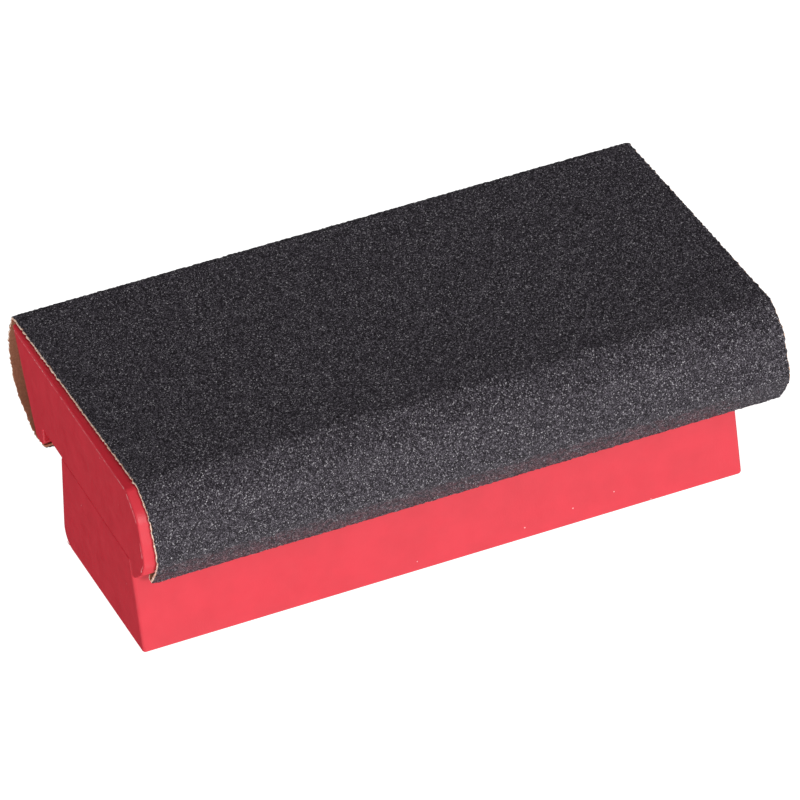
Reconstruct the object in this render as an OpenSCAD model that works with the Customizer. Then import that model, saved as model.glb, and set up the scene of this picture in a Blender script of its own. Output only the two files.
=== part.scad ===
// Sanding block with a replaceable abrasive sheet.
// A hollow grip carries a wider head; the sheet wraps the head and tucks in behind its two lips.
// X runs along the block, +Y is the side of the long overhang, +Z points to the abrasive.
// The origin is the middle of the grip's flat face, on which the block rests.
// Outlines are drawn as [y, z] points and extruded along X.

/* [Grip] */
// Length of the block
block_length = 134; // [120:1:150]
// Width of the grip at its flat face
grip_base_width = 45; // [42:0.5:48]
// Width of the grip where it meets the head
grip_neck_width = 38.4; // [36:0.2:41]
// Height of the joint between grip and head, at its middle
grip_height = 22.4; // [21.6:0.2:23.2]
// Wall and floor thickness of the grip
grip_wall = 3; // [2.4:0.1:3.6]
// Rounding of the grip's lower edge at the back
grip_back_round = 4; // [1:0.5:6]
// Rounding of the grip's lower edge at the front
grip_front_round = 0.8; // [0.4:0.1:2]

/* [Head] */
// Height of the head's flat sole, above the middle of the grip
sole_height = 40.6; // [39.6:0.2:41.6]
// Rise of the sole and of the joint towards the back, in degrees
sole_tilt = 2; // [0:0.5:2.5]
// Distance from the middle of the grip to the front of the head
head_front = 28.2; // [27.6:0.2:29]
// Distance from the middle of the grip to the nose at the back of the head
head_back = 42.4; // [41:0.2:44]
// Lean of the head's back face from the vertical
back_lean = 20.3; // [19:0.1:21]
// Height of the front lip's tip
front_lip_height = 19.2; // [18.8:0.1:19.8]
// Height of the back lip's tip
back_lip_height = 18.8; // [18.4:0.1:19.4]
// Distance from the middle of the grip to the back lip's inner face
back_lip_inner = 29.4; // [29:0.1:29.8]
// Height of the top of the front slot
slot_top = 28.6; // [27.6:0.2:30]
// Distance from the middle of the grip to the front slot's outer wall
slot_outer = 22.5; // [22.2:0.1:22.9]
// Thickness of the web that closes the front slot at its left end
web_thickness = 1.2; // [0.8:0.1:1.4]

/* [Abrasive sheet] */
// Length of the sheet along the block
sheet_length = 140; // [130:1:150]
// How far the sheet sticks out past the block's right end
sheet_overhang = 8.2; // [1:0.2:8.2]
// Thickness of the backing paper
paper_thickness = 0.4; // [0.2:0.05:0.5]
// Thickness of the grit and its resin
grit_thickness = 0.4; // [0.2:0.05:0.5]
// Gap between the sheet and what it lies against
sheet_gap = 0.3; // [0.2:0.05:0.4]
// How far the sheet bows out past the nose at the back
back_bow = 6; // [4.6:0.2:7]
// How far the sheet's fold hangs below the front lip
front_sag = 2.2; // [1:0.1:2.4]

/* [Fixings] */
// Distance of the screws from the middle, along the block
screw_x = 46; // [40:1:52]
// Distance of the screws from the middle, across the block
screw_y = 9; // [7:0.5:10]
// Shank radius of the screws
screw_r = 1.95; // [1.5:0.05:2]
// How far the screws reach into the head
screw_reach = 10; // [6:1:11]

/* [Hidden] */
$fn = 48;
half_length = block_length / 2;
half_base = grip_base_width / 2;
half_neck = grip_neck_width / 2;
sheet_right = half_length + sheet_overhang;
sheet_left = sheet_right - sheet_length;
past = 1;                        // overrun of a cut past a face
corner_steps = 8;                // steps in a rounded corner

// Ribs and bosses inside the two mouldings
rib_thickness = 2;
rib_places = [-24, 0, 24];
rib_drop = 4;                    // how far the ribs stay below the grip's rim
boss_r = 5.6;
counterbore_r = 4.2;
counterbore_depth = 4.2;
shank_clearance = 0.35;
pilot_clearance = 0.05;
core_depth = 9;
core_gap = 3;                    // wall left between two cores
core_length = 21;
core_width = 24;
lug_x = 12;
lug_length = 14;
lug_thickness = 2.4;
lug_height = 3;
lug_clearance = 0.2;
lug_y = half_neck - grip_wall - lug_clearance - lug_thickness / 2;

// Screws
screw_head_r = 3.8;
screw_head_height = 2.6;
screw_head_depth = 1.2;          // how far the head sits inside the flat face
point_length = 3;
point_r = 0.3;
recess_width = 1;
recess_length = 4.4;
recess_depth = 1.6;

// Grip strips
strip_inset = 6;                 // how far the strips stop short of the block's ends
strip_play = 0.7;                // gap at each edge of the front strip
strip_body = 1.2;
tooth_height = 0.5;
tooth_pitch = 1.2;
rear_strip_reach = 5.8;

// Half width of the grip at height z
function half_width(z) = half_base + (half_neck - half_base) * z / grip_height;

// Height of a plane that is z0 high at the middle and tilts with the sole
function tilted(z0, y) = z0 + y * tan(sole_tilt);

// Where the joint plane meets the grip's side, on the front (-1) or the back (1)
function joint_edge(side) =
    let (rise = side * tan(sole_tilt),
         z = (grip_height + rise * half_base) / (1 - rise * (half_neck - half_base) / grip_height))
    [side * half_width(z), z];

// Points of a corner p of radius r between its neighbours a and b
function corner(a, p, b, r) =
    let (u = (a - p) / norm(a - p),
         v = (b - p) / norm(b - p),
         half_angle = acos(u * v) / 2,
         centre = p + (u + v) / norm(u + v) * r / sin(half_angle),
         first = p + u * r / tan(half_angle) - centre,
         last = p + v * r / tan(half_angle) - centre,
         start = atan2(first.y, first.x),
         sweep = ((atan2(last.y, last.x) - start + 540) % 360) - 180)
    r == 0 ? [p] : [for (i = [0 : corner_steps])
        centre + r * [cos(start + sweep * i / corner_steps), sin(start + sweep * i / corner_steps)]];

// Closed outline through [y, z, corner radius] points
function rounded(points) =
    let (n = len(points),
         flat = [for (p = points) [p[0], p[1]]])
    [for (i = [0 : n - 1])
        each corner(flat[(i + n - 1) % n], flat[i], flat[(i + 1) % n], points[i][2])];

// The same for an open path, whose two end points have no radius
function open_path(points) =
    let (n = len(points),
         flat = [for (p = points) [p[0], p[1]]])
    [flat[0],
     for (i = [1 : n - 2]) each corner(flat[i - 1], flat[i], flat[i + 1], points[i][2]),
     flat[n - 1]];

// A path moved by d to the right of its direction of travel
function beside(path, d) =
    let (n = len(path))
    [for (i = [0 : n - 1])
        let (along = path[min(i + 1, n - 1)] - path[max(i - 1, 0)],
             side = [along.y, -along.x] / norm(along))
        path[i] + d * side];

// Corners of a path moved out by d, to the right of its direction of travel, without its two ends
function grown(points, d) =
    [for (i = [1 : len(points) - 2])
        let (p = [points[i][0], points[i][1]],
             before = p - [points[i - 1][0], points[i - 1][1]],
             after = [points[i + 1][0], points[i + 1][1]] - p,
             u = before / norm(before),
             v = after / norm(after),
             q = p + d * [u.y + v.y, -u.x - v.x] / (1 + u * v))
        [q.x, q.y, points[i][2] + abs(d)]];

// Outline of a layer between distances d0 and d1 to the right of a path
function layer(path, d0, d1) =
    let (n = len(path), near = beside(path, d0), far = beside(path, d1))
    concat(near, [for (i = [1 : n]) far[n - i]]);

// Extrudes a [y, z] outline along X from x0 to x1
module along_x(x0, x1) {
    translate([x0, 0, 0])
        rotate([90, 0, 90])
            linear_extrude(x1 - x0)
                children();
}

// Places a child at the four screws
module at_screws() {
    for (x = [-screw_x, screw_x], y = [-screw_y, screw_y])
        translate([x, y, 0])
            children();
}

// Outside of the grip: a trapezium, well rounded along its lower back edge
grip_outline = rounded([
    [-half_base, 0, grip_front_round],
    [each joint_edge(-1), 0],
    [each joint_edge(1), 0],
    [half_base, 0, grip_back_round]]);

// Inside of the grip, one wall thickness in
grip_hollow = [
    [-half_width(grip_wall) + grip_wall, grip_wall],
    [-half_neck + grip_wall, grip_height + past],
    [half_neck - grip_wall, grip_height + past],
    [half_width(grip_wall) - grip_wall, grip_wall]];

// Front of the head: the lip's tip, its toe, the bulge, the upper front, the chamfer and the sole
lip_tip = [-slot_outer, front_lip_height, 0.6];
nose = [head_back, tilted(sole_height, head_back), 0.6];
front_face = [
    [-head_front + 2.3, front_lip_height + 2.6, 3],
    [-head_front, front_lip_height + 6.4, 4],
    [-head_front + 0.7, front_lip_height + 10.9, 6],
    [-head_front + 2.1, tilted(sole_height, -head_front) - 3.6, 5],
    [-head_front + 7, tilted(sole_height, -head_front + 7), 2]];

lip_chamfer = 1.2;               // slant at the mouth of the back slot

// Head: flat sole, chamfered front, sloping back, and a lip along each side
slot_inner = joint_edge(-1).x;
back_lip_outer = head_back - (nose.y - back_lip_height) * tan(back_lean);
head_outline = rounded(concat(
    [[each joint_edge(-1), 0],
     [slot_inner, slot_top, 0.6],
     [-slot_outer, slot_top, 0.6],
     lip_tip],
    front_face,
    [nose,
     [back_lip_outer, back_lip_height, 1.6],
     [back_lip_inner + lip_chamfer, back_lip_height, 0.8],
     [back_lip_inner, back_lip_height + lip_chamfer, 0.8],
     [back_lip_inner, tilted(grip_height, back_lip_inner), 0.6],
     [each joint_edge(1), 0]]));

// The web fills the front slot and reaches the grip's front face
web_overlap = 0.6;               // how far the web runs into the lip
web_foot = front_lip_height - 1.2;
web_outline = [
    [-slot_outer - web_overlap, front_lip_height + 0.4],
    [-half_width(web_foot) - 1.3, web_foot + 0.1],
    [-half_width(web_foot), web_foot],
    joint_edge(-1),
    [slot_inner, slot_top],
    [-slot_outer - web_overlap, slot_top]];

// Path of the face where paper and grit meet, from the front slot over the sole to the back slot
skin = sheet_gap + paper_thickness;
bow = head_back + back_bow;
sheet_end = half_neck + 2.2;     // where the sheet ends in the back slot
sheet_path = open_path(concat(
    [[-slot_outer + skin, slot_top - 1, 0],
     [-slot_outer + skin, front_lip_height - front_sag - 2 * skin, 0.9]],
    grown(concat([lip_tip], front_face, [nose]), -skin),
    [[head_back + 1.5, nose.y + skin, 2.2],
     [bow + 0.9, grip_height + 10.5, 14],
     [bow - 1.5, grip_height + 1, 6],
     [back_lip_outer + 3.8, back_lip_height - skin - 0.8, 7],
     [back_lip_inner + lip_chamfer, back_lip_height - skin - 0.2, 1.2],
     [back_lip_inner - skin - 0.2, back_lip_height + 0.7, 0.8],
     [back_lip_inner - skin - 1, tilted(grip_height, back_lip_inner) - skin, 0.9],
     [sheet_end, tilted(grip_height, sheet_end) - skin, 0]]));

// Hollow grip, open towards the head, with ribs and four screw bosses
module grip_box() {
    color("crimson")
        difference() {
            union() {
                difference() {
                    along_x(-half_length, half_length)
                        polygon(grip_outline);
                    along_x(-half_length + grip_wall, half_length - grip_wall)
                        polygon(grip_hollow);
                }
                for (x = rib_places)
                    intersection() {
                        along_x(x - rib_thickness / 2, x + rib_thickness / 2)
                            polygon(grip_outline);
                        translate([x - rib_thickness, -half_base, past])
                            cube([2 * rib_thickness, grip_base_width, grip_height - rib_drop - past]);
                    }
                intersection() {
                    at_screws()
                        translate([0, 0, past])
                            cylinder(r = boss_r, h = grip_height);
                    along_x(-half_length, half_length)
                        polygon(grip_outline);
                }
            }
            at_screws() {
                translate([0, 0, -past])
                    cylinder(r = screw_r + shank_clearance, h = grip_height + 2 * past);
                translate([0, 0, -past])
                    cylinder(r = counterbore_r, h = counterbore_depth + past);
            }
        }
}

// Head with its lips, cored from below, with lugs that locate it in the grip
module head_moulding() {
    color("red")
        difference() {
            union() {
                along_x(-half_length, half_length)
                    polygon(head_outline);
                along_x(-half_length, -half_length + web_thickness)
                    polygon(web_outline);
                for (x = [-lug_x, lug_x], side = [-1, 1])
                    translate([x - lug_length / 2,
                               side * lug_y - lug_thickness / 2,
                               tilted(grip_height, side * lug_y) - lug_height])
                        cube([lug_length, lug_thickness, lug_height + past]);
            }
            for (i = [-1 : 1])
                translate([i * (core_length + core_gap) - core_length / 2,
                           -core_width / 2,
                           grip_height - past])
                    cube([core_length, core_width, core_depth + past]);
            at_screws()
                translate([0, 0, grip_height - past])
                    cylinder(r = screw_r + pilot_clearance, h = screw_reach + 2 * past);
        }
}

// Saw teeth along a line of the given length, as points [along, height]
function teeth(length) =
    [for (i = [0 : floor(length / tooth_pitch) - 1]) each
        [[i * tooth_pitch, 0], [(i + 0.5) * tooth_pitch, tooth_height]]];

// Rubber strip on the inner wall of the front slot; its teeth face the sheet
module front_grip_strip() {
    foot = grip_height + strip_play;
    top = slot_top - strip_play;
    color("dimgray")
        along_x(-half_length + strip_inset, half_length - strip_inset)
            polygon(concat(
                [[slot_inner, foot]],
                [for (t = teeth(top - foot)) [slot_inner - strip_body - t[1], foot + t[0]]],
                [[slot_inner - strip_body, top], [slot_inner, top]]));
}

// Rubber strip in the back corner between head and grip; its teeth press the sheet upwards
module rear_grip_strip() {
    drop = 2 * sheet_gap + paper_thickness + grit_thickness + tooth_height;
    heel = joint_edge(1).x + strip_body;
    reach = joint_edge(1).x + rear_strip_reach;
    foot = grip_height - drop - strip_body;
    color("dimgray")
        along_x(-half_length + strip_inset, half_length - strip_inset)
            polygon(concat(
                [[half_width(foot), foot],
                 joint_edge(1),
                 [heel, tilted(grip_height, heel)]],
                [for (t = teeth(reach - heel))
                    [heel + t[0], tilted(grip_height, heel + t[0]) - drop + t[1]]],
                [[reach, tilted(grip_height, reach) - drop],
                 [reach, foot]]));
}

// One self-tapping screw with a cross recess, pointing up
module screw() {
    difference() {
        union() {
            cylinder(r = screw_head_r, h = screw_head_height);
            cylinder(r = screw_r, h = grip_height + screw_reach - screw_head_depth - point_length);
            translate([0, 0, grip_height + screw_reach - screw_head_depth - point_length])
                cylinder(r1 = screw_r, r2 = point_r, h = point_length);
        }
        for (turn = [0, 90])
            rotate(turn)
                translate([-recess_length / 2, -recess_width / 2, -past])
                    cube([recess_length, recess_width, recess_depth + past]);
    }
}

// The four screws that hold the grip to the head
module assembly_screws() {
    color("silver")
        at_screws()
            translate([0, 0, screw_head_depth])
                screw();
}

// Paper side of the sheet, against the head
module backing_paper() {
    color("peru")
        along_x(sheet_left, sheet_right)
            polygon(layer(sheet_path, 0, paper_thickness));
}

// Grit side of the sheet
module abrasive_coat() {
    color([0.2, 0.18, 0.21])
        along_x(sheet_left, sheet_right)
            polygon(layer(sheet_path, -grit_thickness, 0));
}

grip_box();
head_moulding();
front_grip_strip();
rear_grip_strip();
assembly_screws();
backing_paper();
abrasive_coat();
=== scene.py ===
"""Looks of the sanding block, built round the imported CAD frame.

The two red mouldings are the CAD shapes with their edges softened and moulding flash along one end.
The abrasive sheet is one folded surface: a paper with cut edges and a coat of grit in relief.
Lengths are in millimetres in the shape functions, and in metres once they reach Blender.
"""

import math

import bmesh
import bpy
import numpy as np
from mathutils import Matrix, Vector, noise


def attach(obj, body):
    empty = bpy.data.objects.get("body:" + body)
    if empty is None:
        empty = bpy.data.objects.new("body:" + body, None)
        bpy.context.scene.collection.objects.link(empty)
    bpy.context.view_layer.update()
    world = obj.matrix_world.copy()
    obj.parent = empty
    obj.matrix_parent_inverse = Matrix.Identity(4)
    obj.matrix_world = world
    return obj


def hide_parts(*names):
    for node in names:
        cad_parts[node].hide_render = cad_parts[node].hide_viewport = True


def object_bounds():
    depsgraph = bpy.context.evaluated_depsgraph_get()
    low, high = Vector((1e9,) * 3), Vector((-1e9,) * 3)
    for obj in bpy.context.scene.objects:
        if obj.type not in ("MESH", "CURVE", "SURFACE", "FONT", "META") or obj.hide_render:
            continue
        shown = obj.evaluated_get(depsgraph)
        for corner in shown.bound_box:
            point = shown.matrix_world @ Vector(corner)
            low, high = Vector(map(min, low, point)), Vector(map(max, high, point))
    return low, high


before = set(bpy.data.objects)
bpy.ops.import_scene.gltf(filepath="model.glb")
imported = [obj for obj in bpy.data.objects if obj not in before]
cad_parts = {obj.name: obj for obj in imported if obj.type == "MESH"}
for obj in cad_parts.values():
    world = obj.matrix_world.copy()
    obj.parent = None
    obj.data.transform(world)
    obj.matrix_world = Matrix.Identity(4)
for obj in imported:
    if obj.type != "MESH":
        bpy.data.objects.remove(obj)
cad_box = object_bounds()

MM = 0.001
SEED = 20
LEFT_END = cad_box[0][0]  # x of the block's left end face, in metres; the right one mirrors it

# ---------------------------------------------------------------- camera

VIEW_AZIMUTH = math.radians(-21.28)
VIEW_ELEVATION = math.radians(34.49)
VIEW_ROLL = math.radians(-3.86)
VIEW_DISTANCE = 1.347
LENS_PER_SENSOR = 8.125  # a long lens, 6500 units for a frame 800 wide
AIM_RIGHT = -0.0008  # the aim point, from the origin, along the camera's right and up
AIM_UP = 0.0221


def make_camera():
    """The camera of the studio view: far off, looking down at the left end and the front."""
    back = Vector((
        math.sin(VIEW_AZIMUTH) * math.cos(VIEW_ELEVATION),
        -math.cos(VIEW_AZIMUTH) * math.cos(VIEW_ELEVATION),
        math.sin(VIEW_ELEVATION),
    ))
    level = (-back).cross(Vector((0, 0, 1))).normalized()
    plumb = level.cross(-back)
    right = math.cos(VIEW_ROLL) * level + math.sin(VIEW_ROLL) * plumb
    up = -math.sin(VIEW_ROLL) * level + math.cos(VIEW_ROLL) * plumb
    data = bpy.data.cameras.new("camera")
    data.sensor_width = 36
    data.lens = data.sensor_width * LENS_PER_SENSOR
    data.clip_end = 20
    camera = bpy.data.objects.new("camera", data)
    place = right * AIM_RIGHT + up * AIM_UP + back * VIEW_DISTANCE
    turn = Matrix((right, up, back)).transposed().to_4x4()
    camera.matrix_world = Matrix.Translation(place) @ turn
    bpy.context.scene.collection.objects.link(camera)
    bpy.context.scene.camera = camera


# ---------------------------------------------------------------- studio

FLOOR_SIZE = 6
FLOOR_TONE = 0.3
FLOOR_GLOW = 1.02  # the floor is lit from within, like a light table, so that it stays white
SKY = (0.95, 0.1)  # light above the horizon, on the camera's side and on the far side
SKY_FADE = (-0.8, 0.8)  # directions in Y between which it changes from one to the other
BELOW = (1.8, 0.03)  # what glossy surfaces mirror below the horizon, on the same sides
BELOW_FADE = (-0.6, 0.4)
HORIZON = (-0.05, 0.05)  # directions in Z between which one gives way to the other
# name, place, size, watts: all aim at the middle of the block
LAMPS = (
    ("front_softbox", (0.4, -1.55, 0.5), 0.45, 12),
    ("left_softbox", (-1.5, -0.2, 0.35), 0.9, 1.2),
)


def make_lamp(name, place, size, watts):
    """A square softbox that faces the block."""
    data = bpy.data.lights.new(name, "AREA")
    data.size = size
    data.energy = watts
    lamp = bpy.data.objects.new(name, data)
    lamp.location = place
    lamp.rotation_mode = "QUATERNION"
    lamp.rotation_quaternion = Vector(place).to_track_quat("Z", "Y")
    bpy.context.scene.collection.objects.link(lamp)


def make_floor():
    """A white light table under the block. Glossy surfaces don't mirror it."""
    mesh = bpy.data.meshes.new("floor")
    half = FLOOR_SIZE / 2
    corners = [(-half, -half, 0), (half, -half, 0), (half, half, 0), (-half, half, 0)]
    mesh.from_pydata(corners, [], [(0, 1, 2, 3)])
    floor = bpy.data.objects.new("floor", mesh)
    floor.visible_glossy = False
    bpy.context.scene.collection.objects.link(floor)
    material = bpy.data.materials.new("floor")
    material.use_nodes = True
    shader = material.node_tree.nodes["Principled BSDF"]
    shader.inputs["Base Color"].default_value = (FLOOR_TONE, FLOOR_TONE, FLOOR_TONE, 1)
    shader.inputs["Roughness"].default_value = 0.9
    shader.inputs["Specular IOR Level"].default_value = 0
    shader.inputs["Emission Color"].default_value = (1, 1, 1, 1)
    shader.inputs["Emission Strength"].default_value = FLOOR_GLOW
    mesh.materials.append(material)


def ranged(tree, value, start, stop, low, high):
    """A value carried over from the range start to stop to the range low to high."""
    node = tree.nodes.new("ShaderNodeMapRange")
    node.inputs["From Min"].default_value = start
    node.inputs["From Max"].default_value = stop
    node.inputs["To Min"].default_value = low
    node.inputs["To Max"].default_value = high
    tree.links.new(value, node.inputs["Value"])
    return node.outputs["Result"]


def make_surround():
    """A white surround, brighter in front than behind, and dark behind below the horizon."""
    world = bpy.data.worlds.new("studio")
    world.use_nodes = True
    tree = world.node_tree
    direction = tree.nodes.new("ShaderNodeSeparateXYZ")
    tree.links.new(tree.nodes.new("ShaderNodeTexCoord").outputs["Generated"], direction.inputs[0])
    level = tree.nodes.new("ShaderNodeMix")
    above_horizon = ranged(tree, direction.outputs["Z"], *HORIZON, 0, 1)
    tree.links.new(above_horizon, level.inputs["Factor"])
    below = ranged(tree, direction.outputs["Y"], *BELOW_FADE, *BELOW)
    tree.links.new(below, level.inputs["A"])
    sky = ranged(tree, direction.outputs["Y"], *SKY_FADE, *SKY)
    tree.links.new(sky, level.inputs["B"])
    background = tree.nodes["Background"]
    background.inputs["Color"].default_value = (1, 1, 1, 1)
    tree.links.new(level.outputs["Result"], background.inputs["Strength"])
    bpy.context.scene.world = world


def make_studio():
    """The floor, the surround and two softboxes."""
    make_floor()
    make_surround()
    for lamp in LAMPS:
        make_lamp(*lamp)
    bpy.context.scene.view_settings.view_transform = "Standard"


# ---------------------------------------------------------------- node helpers


class Tree:
    """A material's node tree with short ways to add the nodes used here. Sizes are in millimetres."""

    def __init__(self, name):
        self.material = bpy.data.materials.new(name)
        self.material.use_nodes = True
        self.nodes = self.material.node_tree.nodes
        self.shader = self.nodes["Principled BSDF"]
        self.place = self.nodes.new("ShaderNodeTexCoord").outputs["Object"]

    def link(self, source, target):
        """Joins an output to an input."""
        self.material.node_tree.links.new(source, target)

    def put(self, value, target):
        """Gives an input a number, a colour or another node's output."""
        if isinstance(value, bpy.types.NodeSocket):
            self.link(value, target)
        else:
            target.default_value = value

    def noise(self, size, detail=2.0, roughness=0.5):
        """Soft noise whose blobs are about size across."""
        node = self.nodes.new("ShaderNodeTexNoise")
        node.inputs["Scale"].default_value = 1 / (size * MM)
        node.inputs["Detail"].default_value = detail
        node.inputs["Roughness"].default_value = roughness
        self.link(self.place, node.inputs["Vector"])
        return node.outputs["Fac"]

    def cells(self, size, output="Color"):
        """Random cells about size across: Color is random in each, Distance grows from each centre."""
        node = self.nodes.new("ShaderNodeTexVoronoi")
        node.inputs["Scale"].default_value = 1 / (size * MM)
        self.link(self.place, node.inputs["Vector"])
        return node.outputs[output]

    def ramp(self, value, *stops):
        """A ramp through (position, colour or grey) stops."""
        node = self.nodes.new("ShaderNodeValToRGB")
        elements = node.color_ramp.elements
        while len(elements) < len(stops):
            elements.new(0.5)
        for element, (position, colour) in zip(elements, stops):
            element.position = position
            element.color = (*colour, 1) if isinstance(colour, tuple) else (colour, colour, colour, 1)
        self.link(value, node.inputs["Fac"])
        return node.outputs["Color"]

    def math(self, operation, a, b):
        """One sum on two values."""
        node = self.nodes.new("ShaderNodeMath")
        node.operation = operation
        self.put(a, node.inputs[0])
        self.put(b, node.inputs[1])
        return node.outputs["Value"]

    def mix(self, share, a, b):
        """Colour a where share is 0 and b where it is 1."""
        node = self.nodes.new("ShaderNodeMix")
        node.data_type = "RGBA"
        self.put(share, node.inputs["Factor"])
        self.put((*a, 1) if isinstance(a, tuple) else a, node.inputs["A"])
        self.put((*b, 1) if isinstance(b, tuple) else b, node.inputs["B"])
        return node.outputs["Result"]

    def bump(self, height, depth, normal=None):
        """A bump of the given depth, laid over another normal if there is one."""
        node = self.nodes.new("ShaderNodeBump")
        node.inputs["Distance"].default_value = depth * MM
        self.link(height, node.inputs["Height"])
        if normal is not None:
            self.link(normal, node.inputs["Normal"])
        return node.outputs["Normal"]

    def set(self, **inputs):
        """Sets the shader's inputs by name, with _ for a space."""
        for name, value in inputs.items():
            self.put(value, self.shader.inputs[name.replace("_", " ")])


# ---------------------------------------------------------------- materials

RED = (0.61, 0.007, 0.026)
RED_DEEP = (0.565, 0.005, 0.022)
RED_WORN = (0.78, 0.13, 0.16)
RED_TORN = (0.9, 0.5, 0.5)
SPECK_PITCH = 3.1  # distance between places where a speck may lie
SPECK_CHOICE = 0.62  # only places with a random tone above this have one
SPECK_RADIUS = 0.045  # as a share of the pitch


def red_plastic():
    """Semi-gloss moulded plastic: faint mottling, pale specks, a slightly uneven skin."""
    tree = Tree("red_plastic")
    mottle = tree.ramp(tree.noise(6, detail=4), (0.35, 0.0), (0.65, 1.0))
    base = tree.mix(mottle, RED_DEEP, RED)
    chosen = tree.math("GREATER_THAN", tree.cells(SPECK_PITCH), SPECK_CHOICE)
    dot = tree.math("LESS_THAN", tree.cells(SPECK_PITCH, "Distance"), SPECK_RADIUS)
    speck = tree.math("MULTIPLY", chosen, dot)
    tree.set(
        Base_Color=tree.mix(speck, base, RED_TORN),
        Roughness=tree.ramp(tree.noise(2.5, detail=4), (0.3, 0.43), (0.7, 0.51)),
        Specular_IOR_Level=0.62,
        Normal=tree.bump(tree.noise(0.35, detail=2), 0.028, tree.bump(tree.noise(5, detail=1), 0.06)),
    )
    return tree.material


def flash_plastic():
    """The thin, stretched edge of the moulding, paler than the rest."""
    tree = Tree("flash_plastic")
    torn = tree.ramp(tree.noise(0.8), (0.45, 0.0), (0.65, 1.0))
    tree.set(
        Base_Color=tree.mix(torn, RED_WORN, RED_TORN),
        Roughness=0.5,
        Normal=tree.bump(tree.noise(0.3), 0.05),
    )
    return tree.material


def grit():
    """Black silicon carbide: each grain has its own darkness, gloss and tilt; the palest few are
    painted glints.
    """
    tree = Tree("grit")
    grain = tree.cells(0.2)
    grain_colour_and_glint = tree.ramp(
        grain,
        (0.3, (0.008, 0.006, 0.009)),
        (0.45, (0.02, 0.016, 0.022)),
        (0.6, (0.05, 0.043, 0.054)),
        (0.8, (0.125, 0.112, 0.132)),
        # painted highlight: this pale stop gives a few grains a pale colour that stands in for glints
        (0.97, (0.5, 0.48, 0.5)),
    )
    tree.set(
        Base_Color=grain_colour_and_glint,
        Roughness=tree.ramp(grain, (0.0, 0.45), (1.0, 0.3)),
        Specular_IOR_Level=0.2,
        Normal=tree.bump(tree.cells(0.22, "Distance"), 0.2),
    )
    return tree.material


def kraft_paper():
    """The tan back of the paper, with fine fibres."""
    tree = Tree("kraft_paper")
    fibres = tree.noise(0.5, detail=5, roughness=0.7)
    tree.set(
        Base_Color=tree.ramp(fibres, (0.3, (0.3, 0.12, 0.062)), (0.7, (0.46, 0.2, 0.115))),
        Roughness=0.85,
        Normal=tree.bump(fibres, 0.03),
    )
    return tree.material


def cut_paper():
    """The pale core of the paper where it was cut."""
    tree = Tree("cut_paper")
    fibres = tree.noise(0.3, detail=4, roughness=0.7)
    tree.set(
        Base_Color=tree.ramp(fibres, (0.4, (0.5, 0.26, 0.15)), (0.57, (1.0, 0.84, 0.73))),
        Roughness=0.9,
        Normal=tree.bump(fibres, 0.05),
    )
    return tree.material


def strip_rubber():
    """Matt black rubber."""
    tree = Tree("strip_rubber")
    tree.set(
        Base_Color=tree.ramp(tree.noise(1.5), (0.3, 0.018), (0.7, 0.03)),
        Roughness=0.7,
        Normal=tree.bump(tree.noise(0.2), 0.02),
    )
    return tree.material


def zinc_steel():
    """Zinc-plated steel with faint stains."""
    tree = Tree("zinc_steel")
    stains = tree.noise(1.2, detail=4)
    tree.set(
        Base_Color=tree.ramp(stains, (0.3, (0.5, 0.5, 0.5)), (0.7, (0.68, 0.68, 0.66))),
        Metallic=1.0,
        Roughness=tree.ramp(tree.noise(0.6), (0.3, 0.28), (0.7, 0.42)),
    )
    return tree.material


# ---------------------------------------------------------------- pieces from CAD shapes

HEAD_SOFTENING = 0.38
GRIP_SOFTENING = 0.7
SHARP = math.radians(32)  # only edges sharper than this are softened
SMOOTH_BELOW = math.radians(28)  # faces that meet at less than this are shaded as one
WELD = 0.002  # vertices nearer than this are merged
FLAT = math.radians(1)  # edges between faces that meet at less than this are dissolved
CLOSE = 0.01  # X values this near to each other count as the same


def add_piece(mesh, name, body, slot, *materials):
    """A new object for a mesh, riding on its body."""
    for material in materials:
        mesh.materials.append(material)
    piece = bpy.data.objects.new(name, mesh)
    bpy.context.scene.collection.objects.link(piece)
    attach(piece, body)
    return piece


def worth_softening(edge):
    """Whether an edge is sharp, and lies round an end face or runs the block's whole length."""
    half_length = -LEFT_END
    across = abs(edge.verts[0].co.x - edge.verts[1].co.x)
    reach = min(abs(vert.co.x) for vert in edge.verts)
    if reach < half_length - CLOSE * MM:
        return False
    sharp = edge.calc_face_angle(0) > SHARP
    return sharp and (across < CLOSE * MM or across > half_length)


def make_moulding(node, name, material, width):
    """A CAD shape with its outer edges rounded to width mm, standing for the node."""
    shape = bmesh.new()
    shape.from_mesh(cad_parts[node].data)
    bmesh.ops.remove_doubles(shape, verts=shape.verts, dist=WELD * MM)
    bmesh.ops.dissolve_limit(shape, angle_limit=FLAT, verts=shape.verts, edges=shape.edges)
    weight = shape.edges.layers.float.new("bevel_weight_edge")
    for edge in shape.edges:
        edge[weight] = float(worth_softening(edge))
    mesh = bpy.data.meshes.new(name)
    shape.to_mesh(mesh)
    shape.free()
    mesh.materials.clear()
    piece = add_piece(mesh, name, "block", "red_plastic", material)
    bevel = piece.modifiers.new("edges", "BEVEL")
    bevel.width = width * MM
    bevel.segments = 3
    bevel.limit_method = "WEIGHT"
    bevel.use_clamp_overlap = False
    bevel.harden_normals = True
    mesh.shade_smooth()
    mesh.set_sharp_from_angle(angle=SMOOTH_BELOW)
    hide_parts(node)


# ---------------------------------------------------------------- the abrasive sheet

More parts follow.
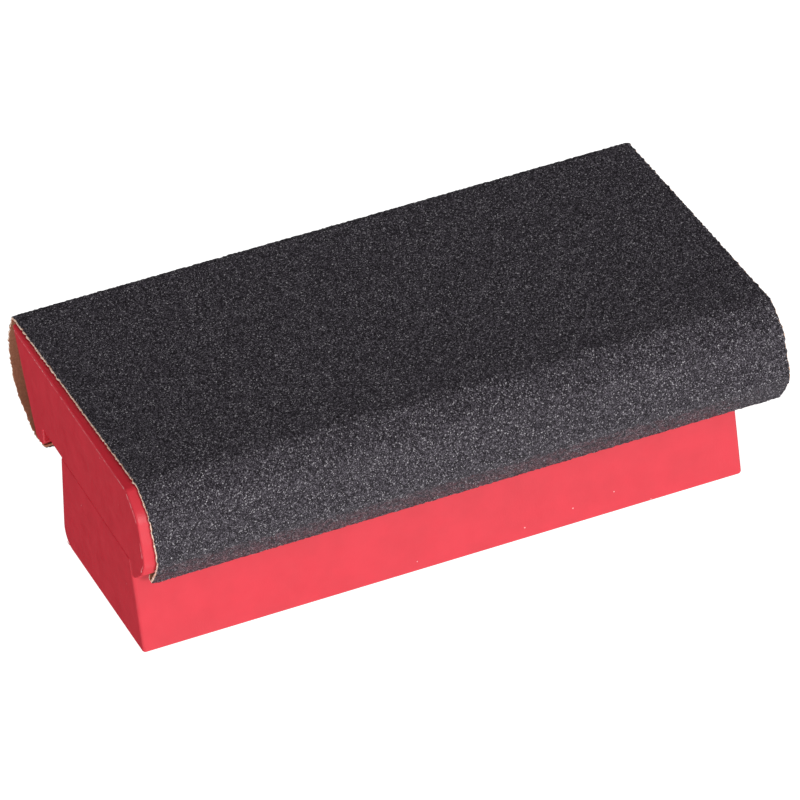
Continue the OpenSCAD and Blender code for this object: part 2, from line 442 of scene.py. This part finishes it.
SHEET_LENGTH = 140.0
PAPER = 0.4  # thickness
COAT = 0.16  # resin under the grains
GRAIN = 0.26  # height of the tallest grains above the resin
RIM = 0.16  # width of bare paper along the two cut ends
RAGGED = 0.28  # how far the cut ends stray
RAGGED_PITCH = 0.9
RAGGED_FRACTAL = (0.6, 2.2, 4)  # roughness, step between octaves, octaves
TUCK = 12  # length of the part that is tucked in at the back
TUCK_TRIM = 1.5  # how far that part's left corner is trimmed
TRIM_RUN = 2
SHADED_EDGE_BELOW = 23  # painted shade: below this height the cut edge at the back gets the kraft colour, not the pale core
SHEET_FRONT_START = -63.9  # x of the sheet's left edge where it starts in the front slot
SHEET_SKEW = 0.0245  # how far the left edge drifts to -X for each mm along the section
SKEW_END = 104  # from here, near the back edge of the sole, the edge runs square to the block
# The folds of the face where paper and grit meet, as (y, z, bend radius), from the front slot
# over the sole to the back slot
FOLDS = (
    (-21.8, 27.6, 0),
    (-21.8, 15.6, 0.9),
    (-26.3, 21.3, 2.2),
    (-28.9, 25.3, 4),
    (-28.2, 30.1, 6.7),
    (-26.7, 36.3, 4),
    (-21.5, 40.56, 5),
    (43.9, 42.8, 2.4),
    (49.3, 32.9, 14),
    (46.9, 23.4, 6),
    (37.6, 17.3, 7),
    (30.6, 17.9, 1.2),
    (28.5, 19.5, 0.8),
    (27.7, 22.7, 0.9),
    (21.4, 22.45, 0),
)
PATH_STEP = 0.05
NORMAL_REACH = 0.25  # the normal is taken over this distance to each side


def rounded_path(folds):
    """Dense points along an open path of straight runs joined by arcs."""
    points = [np.array(folds[0][:2], float)]
    for before, (y, z, radius), after in zip(folds, folds[1:], folds[2:]):
        corner = np.array((y, z), float)
        u = np.array(before[:2]) - corner
        v = np.array(after[:2]) - corner
        u /= np.linalg.norm(u)
        v /= np.linalg.norm(v)
        half = math.acos(np.clip(u @ v, -1, 1)) / 2
        centre = corner + (u + v) / np.linalg.norm(u + v) * radius / math.sin(half)
        first = corner + u * radius / math.tan(half) - centre
        last = corner + v * radius / math.tan(half) - centre
        start = math.atan2(first[1], first[0])
        sweep = (math.atan2(last[1], last[0]) - start + 3 * math.pi) % (2 * math.pi) - math.pi
        steps = max(4, int(abs(sweep) * radius / PATH_STEP))
        for k in range(steps + 1):
            angle = start + sweep * k / steps
            points.append(centre + radius * np.array((math.cos(angle), math.sin(angle))))
    points.append(np.array(folds[-1][:2], float))
    return np.array(points)


class Fold:
    """The sheet's folded surface.

    along is the distance from the sheet's edge in the front slot, and across runs along X.
    """

    def __init__(self, folds):
        self.points = rounded_path(folds)
        steps = np.linalg.norm(np.diff(self.points, axis=0), axis=1)
        self.at = np.concatenate(([0], np.cumsum(steps)))
        self.length = self.at[-1]

    def point(self, along):
        """Places y and z at distances along the section."""
        y = np.interp(along, self.at, self.points[:, 0])
        z = np.interp(along, self.at, self.points[:, 1])
        return y, z

    def section(self, along):
        """Points (y, z) and outward normals at distances along the section."""
        y, z = self.point(along)
        low_y, low_z = self.point(np.clip(along - NORMAL_REACH, 0, self.length))
        high_y, high_z = self.point(np.clip(along + NORMAL_REACH, 0, self.length))
        dy = high_y - low_y
        dz = high_z - low_z
        size = np.hypot(dy, dz)
        return y, z, -dz / size, dy / size

    def surface(self, across, along, height):
        """Points in metres, for arrays of the same shape; height is the distance out from the fold."""
        y, z, normal_y, normal_z = self.section(along)
        trim = TUCK_TRIM * np.clip((along - self.length + TUCK) / TRIM_RUN, 0, 1)
        drift = SHEET_SKEW * np.minimum(along, SKEW_END)
        x = SHEET_FRONT_START - drift + across + trim * (1 - across / SHEET_LENGTH)
        return np.stack((x, y + normal_y * height, z + normal_z * height), axis=-1) * MM


def grid_faces(columns, rows, first, flip):
    """Quads of a grid of vertices numbered column by column."""
    i, j = np.meshgrid(np.arange(columns - 1), np.arange(rows - 1), indexing="ij")
    a = (first + i * rows + j).ravel()
    quads = np.stack((a, a + rows, a + rows + 1, a + 1), axis=1)
    return (quads[:, ::-1] if flip else quads).tolist()


def slab(top, bottom):
    """Vertices and faces of a closed slab between two grids of points of the same size."""
    columns, rows = top.shape[:2]
    count = columns * rows
    rim = [(i, 0) for i in range(columns)]
    rim += [(columns - 1, j) for j in range(1, rows)]
    rim += [(i, rows - 1) for i in range(columns - 2, -1, -1)]
    rim += [(0, j) for j in range(rows - 2, 0, -1)]
    ring = [i * rows + j for i, j in rim]
    sides = [(a, a + count, b + count, b) for a, b in zip(ring, ring[1:] + ring[:1])]
    faces = grid_faces(columns, rows, 0, False) + grid_faces(columns, rows, count, True) + sides
    return np.concatenate((top.reshape(-1, 3), bottom.reshape(-1, 3))), faces, len(sides)


def mesh_of(name, points, faces):
    """A smooth mesh from points and faces, with its faces turned outwards."""
    mesh = bpy.data.meshes.new(name)
    mesh.from_pydata(points.tolist(), [], faces)
    shape = bmesh.new()
    shape.from_mesh(mesh)
    bmesh.ops.recalc_face_normals(shape, faces=shape.faces)
    shape.to_mesh(mesh)
    shape.free()
    mesh.polygons.foreach_set("use_smooth", [True] * len(mesh.polygons))
    return mesh


def ragged(along, seed):
    """How far a cut edge strays at each place along it."""
    places = [Vector((a / RAGGED_PITCH, seed, 0)) for a in along]
    return np.array([RAGGED * noise.fractal(place, *RAGGED_FRACTAL) for place in places])


PAPER_STEP = 0.4
EDGE_COLUMNS = (0, RIM, 1.2, 3)  # distances of the columns of vertices near each cut end
MIDDLE_COLUMNS = 22


def make_paper(fold):
    """The backing paper: its two cut ends are slightly ragged and show the pale core; low on the back
    and in the tuck, the cut paper keeps the kraft colour as painted shade.
    """
    along = np.linspace(0, fold.length, int(fold.length / PAPER_STEP))
    edge = np.array(EDGE_COLUMNS)
    middle = np.linspace(edge[-1], SHEET_LENGTH - edge[-1], MIDDLE_COLUMNS + 2)[1:-1]
    across = np.concatenate((edge, middle, SHEET_LENGTH - edge[::-1]))
    u, s = np.meshgrid(across, along, indexing="ij")
    u[0] += ragged(along, 1)
    u[-1] += ragged(along, 2)
    outer = fold.surface(u, s, np.zeros_like(s))
    inner = fold.surface(u, s, np.full_like(s, -PAPER))
    points, faces, rim = slab(outer, inner)
    mesh = mesh_of("paper_sheet", points, faces)
    piece = add_piece(mesh, "paper_sheet", "sheet", "kraft_paper", kraft_paper(), cut_paper())
    for face in list(mesh.polygons)[-rim:]:
        # painted shade: cut faces low on the back, in the slot, get the kraft colour in place of the
        # pale core
        in_painted_shade = face.center.y > 0 and face.center.z < SHADED_EDGE_BELOW * MM
        face.material_index = 0 if in_painted_shade else 1
        face.use_smooth = False
    rows = len(along) - 1
    # painted shade: the bare rim shows the pale core only up to the tuck, and keeps the kraft colour
    # in the tucked part
    bare = int(rows * (1 - TUCK / fold.length))
    for column in (0, len(across) - 2):
        for face in mesh.polygons[column * rows : column * rows + bare]:
            face.material_index = 1
    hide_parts("backing_paper")
    return piece


GRAIN_PITCH = 0.42
GRAIN_JITTER = 0.42  # how far a grain strays, as a share of the pitch
END_JITTER = 0.12  # how far the coat's two ends stray from the paper's
GRAIN_SPREAD = (1.6, 1.8)  # shape of the spread of heights
LOW_SHARE = 0.35  # height of the rim's grains and of the tucked coat, as a share of the rest
HIDDEN_FRONT = 8.0  # lengths inside the slots, where wider rows are enough
HIDDEN_BACK = 13.0
HIDDEN_STEP = 1.0
BACK_COLUMNS = 16  # on the hidden side of the coat, one column of vertices in this many is kept


def make_grit(fold):
    """The coat: every vertex of its outer face is a grain with its own height and place."""
    chance = np.random.default_rng(SEED)
    back_start = fold.length - HIDDEN_BACK
    along = np.concatenate((
        np.arange(0, HIDDEN_FRONT, HIDDEN_STEP),
        np.arange(HIDDEN_FRONT, back_start, GRAIN_PITCH),
        np.linspace(back_start, fold.length, int(HIDDEN_BACK / HIDDEN_STEP) + 1),
    ))
    across = np.linspace(RIM, SHEET_LENGTH - RIM, int(SHEET_LENGTH / GRAIN_PITCH))
    flat_u, flat_s = np.meshgrid(across, along, indexing="ij")
    inside = np.zeros_like(flat_u)
    inside[1:-1, 1:-1] = 1
    jitter = GRAIN_JITTER * GRAIN_PITCH
    u = flat_u + inside * chance.uniform(-jitter, jitter, flat_u.shape)
    s = flat_s + inside * chance.uniform(-jitter, jitter, flat_s.shape)
    tallness = LOW_SHARE + (1 - LOW_SHARE) * inside
    height = COAT + GRAIN * chance.beta(*GRAIN_SPREAD, u.shape) * tallness
    height[s > fold.length - TUCK] *= LOW_SHARE
    u[:2] += ragged(along, 1)
    u[-2:] += ragged(along, 2)
    u[[0, -1]] += chance.uniform(-END_JITTER, END_JITTER, (2, len(along)))
    outer = fold.surface(u, s, height)
    flat_u[0] = u[0]
    flat_u[-1] = u[-1]
    inner = fold.surface(flat_u, flat_s, np.zeros_like(flat_s))
    points, faces = coarse_backed(outer, inner)
    mesh = mesh_of("grit_coat", points, faces)
    piece = add_piece(mesh, "grit_coat", "sheet", "grit", grit())
    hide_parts("abrasive_coat")
    return piece


def coarse_backed(top, bottom):
    """A closed slab whose hidden bottom keeps only some columns, and all of its rim."""
    columns, rows = top.shape[:2]
    kept = sorted(set(range(0, columns, BACK_COLUMNS)) | {columns - 1})
    keep = np.zeros((columns, rows), bool)
    keep[kept] = True
    keep[:, [0, -1]] = True
    number = np.full((columns, rows), -1)
    number[keep] = columns * rows + np.arange(keep.sum())
    faces = grid_faces(columns, rows, 0, False)
    for a, b in zip(kept, kept[1:]):
        for j in range(rows - 1):
            low = number[a : b + 1, j] if j == 0 else number[[a, b], j]
            high = number[a : b + 1, j + 1] if j == rows - 2 else number[[a, b], j + 1]
            faces.append([int(n) for n in (*low, *high[::-1])])
    for j in (0, rows - 1):
        for i in range(columns - 1):
            edge = [i * rows + j, (i + 1) * rows + j]
            faces.append([*edge, int(number[i + 1, j]), int(number[i, j])])
    for i in (0, columns - 1):
        for j in range(rows - 1):
            edge = [i * rows + j, i * rows + j + 1]
            faces.append([*edge, int(number[i, j + 1]), int(number[i, j])])
    points = np.concatenate((top.reshape(-1, 3), bottom[keep]))
    return points, faces


# ---------------------------------------------------------------- moulding flash

# Lines just inside the left end face's edge where flash was left, as (y, z) points, each with
# the share of it that is covered
FLASH_LINES = (
    (((41.4, 40.8), (-20.4, 39.55)), 0.8),
    (((-21.3, 38.95), (-24.4, 36.6), (-25.65, 34.9), (-26.85, 30.2), (-27.4, 27.0)), 0.6),
    (((-27.3, 25.3), (-25.8, 22.6)), 0.75),
    (((21.0, 0.75), (-21.3, 0.75)), 0.4),
)
FLASH_WIDTH = 0.17
FLASH_THICKNESS = 0.07
FLASH_SUNK = 0.05  # how far its foot is sunk in the face
FLASH_PITCH = 0.35
PATCH_RATE = 0.13  # how fast it comes and goes from one step to the next
STRAY_RATE = 0.3
STRAY = 0.1  # how far it wanders off the line


def along_line(points):
    """Points and directions along a polyline, a pitch apart."""
    corners = np.array(points, float)
    steps = np.linalg.norm(np.diff(corners, axis=0), axis=1)
    at = np.concatenate(([0], np.cumsum(steps)))
    for distance in np.arange(0, at[-1], FLASH_PITCH):
        k = min(int(np.searchsorted(at, distance, side="right")) - 1, len(steps) - 1)
        direction = (corners[k + 1] - corners[k]) / steps[k]
        yield corners[k] + direction * (distance - at[k]), direction


def make_flash():
    """Broken beads of thin plastic along the left end's edges, as separate low ridges."""
    chance = np.random.default_rng(SEED + 1)
    shape = bmesh.new()
    for line, share in FLASH_LINES:
        ridge = None
        for k, (place, direction) in enumerate(along_line(line)):
            patch = 0.5 + 0.5 * noise.noise(Vector((k * PATCH_RATE, line[0][0], 5)))
            side = np.array((-direction[1], direction[0]))
            half = FLASH_WIDTH / 2 * (0.3 + 1.4 * chance.random())
            lift = FLASH_THICKNESS * (0.5 + chance.random())
            stray = STRAY * noise.noise(Vector((k * STRAY_RATE, line[0][1], 9)))
            corners = []
            for across, height in ((-half, -FLASH_SUNK), (0, lift), (half, -FLASH_SUNK)):
                y, z = place + side * (across + stray)
                corners.append(shape.verts.new((LEFT_END - height * MM, y * MM, z * MM)))
            if patch < share and ridge:
                shape.faces.new((ridge[0], ridge[1], corners[1], corners[0]))
                shape.faces.new((ridge[1], ridge[2], corners[2], corners[1]))
                shape.faces.new((ridge[2], ridge[0], corners[0], corners[2]))
            ridge = corners if patch < share else None
    loose = [vert for vert in shape.verts if not vert.link_faces]
    bmesh.ops.delete(shape, geom=loose, context="VERTS")
    bmesh.ops.holes_fill(shape, edges=shape.edges, sides=3)
    bmesh.ops.recalc_face_normals(shape, faces=shape.faces)
    mesh = bpy.data.meshes.new("moulding_flash")
    shape.to_mesh(mesh)
    shape.free()
    add_piece(mesh, "moulding_flash", "block", "red_plastic", flash_plastic())


# ---------------------------------------------------------------- build

make_camera()
make_studio()

red = red_plastic()
make_moulding("head_moulding", "head", red, HEAD_SOFTENING)
make_moulding("grip_box", "grip", red, GRIP_SOFTENING)
make_flash()
for node_name in ("front_grip_strip", "rear_grip_strip"):
    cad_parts[node_name].data.materials[0] = strip_rubber()
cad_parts["assembly_screws"].data.materials[0] = zinc_steel()

fold = Fold(FOLDS)
paper = make_paper(fold)
coat = make_grit(fold)
